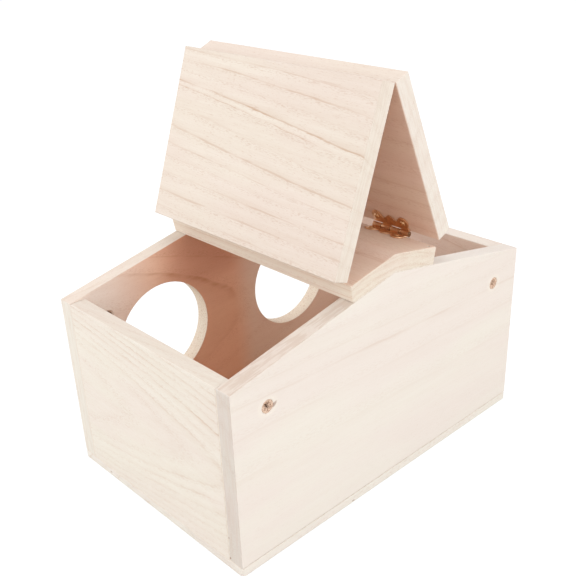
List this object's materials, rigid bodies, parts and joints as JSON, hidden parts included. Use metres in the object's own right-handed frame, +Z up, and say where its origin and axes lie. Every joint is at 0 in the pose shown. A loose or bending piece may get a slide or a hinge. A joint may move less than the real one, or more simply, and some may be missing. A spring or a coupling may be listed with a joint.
{
  "type": "parrot nest box",
  "caption": "Wooden nest box with round entrance holes in one long side, a fixed ridge board and roof lids on butterfly hinges that open and lean together.",
  "frame": {"origin": "middle of the underside's footprint", "axes": "+Z up, X along the box, -Y the side with the entrance holes, +Y the plain long side"},
  "size_m": [0.28, 0.18, 0.2843],
  "materials": {
    "wood": "bare pale paulownia, lightly sanded, unvarnished",
    "hinge_brass": "thin pressed sheet with a bright red-gold brass plating",
    "screw_brass": "brass-plated round-head screws",
    "brad_steel": "plain drawn steel wire"
  },
  "bodies": {
    "box": {"bottom_board": "wood", "front_panel": "wood", "back_panel": "wood", "right_end_panel": "wood", "left_end_panel": "wood", "ridge_board": "wood", "right_front_hinge_fixed_leaf": "hinge_brass", "right_back_hinge_fixed_leaf": "hinge_brass", "left_front_hinge_fixed_leaf": "hinge_brass", "left_back_hinge_fixed_leaf": "hinge_brass", "right_front_hinge_pin": "brad_steel", "right_back_hinge_pin": "brad_steel", "left_front_hinge_pin": "brad_steel", "left_back_hinge_pin": "brad_steel", "right_front_hinge_fixed_screw_1": "screw_brass", "right_front_hinge_fixed_screw_2": "screw_brass", "right_back_hinge_fixed_screw_1": "screw_brass", "right_back_hinge_fixed_screw_2": "screw_brass", "left_front_hinge_fixed_screw_1": "screw_brass", "left_front_hinge_fixed_screw_2": "screw_brass", "left_back_hinge_fixed_screw_1": "screw_brass", "left_back_hinge_fixed_screw_2": "screw_brass", "bottom_brad_1": "brad_steel", "bottom_brad_2": "brad_steel", "bottom_brad_3": "brad_steel", "bottom_brad_4": "brad_steel", "bottom_brad_5": "brad_steel", "bottom_brad_6": "brad_steel", "bottom_brad_7": "brad_steel", "bottom_brad_8": "brad_steel", "bottom_brad_9": "brad_steel", "bottom_brad_10": "brad_steel", "ridge_brad_1": "brad_steel", "ridge_brad_2": "brad_steel"},
    "right_lid_body": {"right_lid": "wood", "right_front_hinge_moving_leaf": "hinge_brass", "right_back_hinge_moving_leaf": "hinge_brass", "right_front_hinge_moving_screw_1": "screw_brass", "right_front_hinge_moving_screw_2": "screw_brass", "right_back_hinge_moving_screw_1": "screw_brass", "right_back_hinge_moving_screw_2": "screw_brass"},
    "left_lid_body": {"left_lid": "wood", "left_front_hinge_moving_leaf": "hinge_brass", "left_back_hinge_moving_leaf": "hinge_brass", "left_front_hinge_moving_screw_1": "screw_brass", "left_front_hinge_moving_screw_2": "screw_brass", "left_back_hinge_moving_screw_1": "screw_brass", "left_back_hinge_moving_screw_2": "screw_brass"}
  },
  "joints": [
    {"name": "right_lid_hinge", "type": "hinge", "parent": "box", "child": "right_lid_body", "pos_m": [0.04274, 0, 0.16673], "axis": [0, 1, 0], "range_deg": [0, 121.1]},
    {"name": "left_lid_hinge", "type": "hinge", "parent": "box", "child": "left_lid_body", "pos_m": [-0.04274, 0, 0.16673], "axis": [0, -1, 0], "range_deg": [0, 124.2]}
  ]
}
